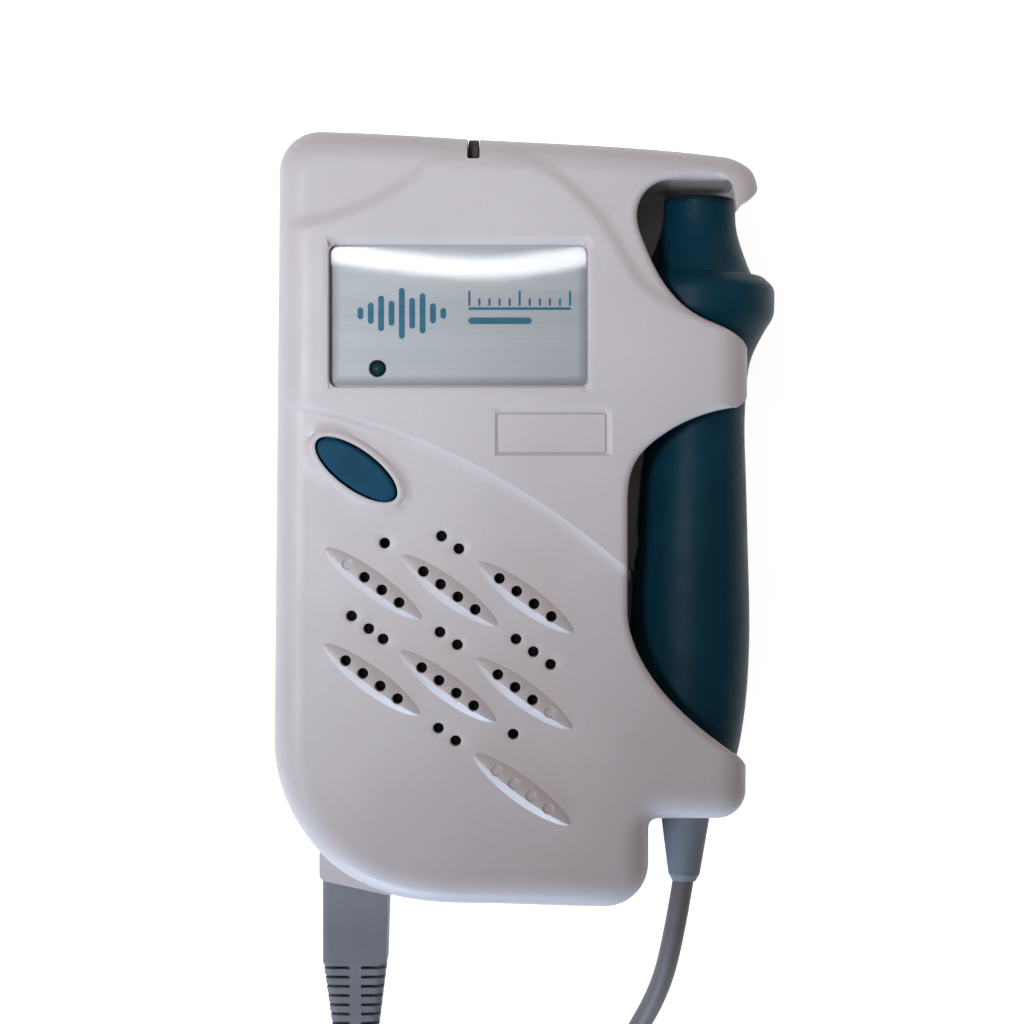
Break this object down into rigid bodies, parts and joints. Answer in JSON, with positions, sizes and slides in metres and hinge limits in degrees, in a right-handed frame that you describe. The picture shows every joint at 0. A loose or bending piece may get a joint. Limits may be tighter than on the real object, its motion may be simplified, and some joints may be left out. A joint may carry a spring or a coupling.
{
  "type": "fetal doppler monitor",
  "caption": "Hand-held fetal heart monitor: a moulded case with a window, speaker grille, power button and thumbwheel, and a probe on a lead docked in its side.",
  "frame": {"origin": "centre of the case's footprint, at the back face that it lies on", "axes": "+Z out of the front face, +Y along the case towards the thumbwheel's end, +X towards the docked probe"},
  "size_m": [0.0865, 0.2282, 0.0351],
  "materials": {
    "case_plastic": "fine moulded grain, soft sheen",
    "lens_acrylic": "clear moulded acrylic, glossy",
    "label_print": "silver print behind the lens",
    "indicator": "dark green epoxy lamp",
    "button_plastic": "satin moulded",
    "switch_plastic": "moulded",
    "wheel_plastic": "moulded, knurled",
    "shaft_steel": "turned",
    "circuit_board": "solder mask",
    "chip_resin": "moulded epoxy",
    "tinplate": "tinned sheet",
    "speaker_steel": "stamped and plated",
    "speaker_paper": "pressed paper cone",
    "foam_rubber": "closed-cell foam",
    "speaker_cloth": "fine woven",
    "cell_sleeve": "shrunk sleeve, plain",
    "spring_steel": "nickel-plated",
    "screw_steel": "zinc-plated",
    "jack_plastic": "moulded",
    "contact_gold": "gold flash",
    "probe_plastic": "satin moulded, dark teal",
    "probe_face": "smooth cast epoxy",
    "crystal": "fired ceramic",
    "backing_resin": "filled epoxy",
    "seal_rubber": "moulded",
    "relief_rubber": "moulded, grey",
    "plug_grey": "overmoulded, fine grain",
    "plug_clear": "clear moulded",
    "cord_jacket": "extruded jacket, dull sheen"
  },
  "bodies": {
    "main": {"front_shell": "case_plastic", "rear_shell": "case_plastic", "window_lens": "lens_acrylic", "window_label": "label_print", "power_led": "indicator", "tact_switch": "switch_plastic", "volume_pot": "switch_plastic", "main_board": "circuit_board", "board_chips": "chip_resin", "shield_can": "tinplate", "speaker_frame": "speaker_steel", "speaker_cone": "speaker_paper", "speaker_magnet": "speaker_steel", "speaker_gasket": "foam_rubber", "speaker_cloth": "speaker_cloth", "battery_cell_1": "cell_sleeve", "battery_cell_2": "cell_sleeve", "battery_contacts": "spring_steel", "battery_springs": "spring_steel", "case_screws": "screw_steel", "probe_jack": "jack_plastic", "jack_contacts": "contact_gold", "headphone_jack": "jack_plastic", "cord_lead": "cord_jacket", "cord_coil": "cord_jacket", "cord_tail": "cord_jacket"},
    "button": {"power_button": "button_plastic", "switch_plunger": "switch_plastic"},
    "wheel": {"volume_wheel": "wheel_plastic", "wheel_shaft": "shaft_steel"},
    "door": {"battery_door": "case_plastic"},
    "probe": {"probe_grip": "probe_plastic", "probe_collar": "probe_plastic", "probe_neck": "probe_plastic", "probe_face": "probe_face", "probe_crystals": "crystal", "probe_backing": "backing_resin", "probe_board": "circuit_board", "probe_seal": "seal_rubber", "probe_relief": "relief_rubber"},
    "plug": {"plug_body": "plug_grey", "plug_boot": "plug_grey", "plug_insert": "plug_clear", "plug_latch": "plug_clear"}
  },
  "joints": [
    {"name": "power_button_press", "type": "slide", "parent": "main", "child": "button", "axis": [0, 0, -1], "range_m": [0, 0.0006], "stiffness_N_per_m": 800},
    {"name": "volume_wheel_turn", "type": "hinge", "parent": "main", "child": "wheel", "pos_m": [-0.0092, 0.0595, 0.0271], "axis": [1, 0, 0], "range_deg": [-135, 135]},
    {"name": "battery_door_open", "type": "hinge", "parent": "main", "child": "door", "pos_m": [-0.0136, 0.0109, 0.0011], "axis": [1, 0, 0], "range_deg": [0, 90]},
    {"name": "probe_undock", "type": "slide", "parent": "main", "child": "probe", "axis": [0.9997, -0.0232, 0], "range_m": [0, 0.045], "deforming": ["cord_lead"]},
    {"name": "plug_pull", "type": "slide", "parent": "main", "child": "plug", "axis": [0, -1, 0], "range_m": [0, 0.011], "deforming": ["cord_tail"]}
  ]
}
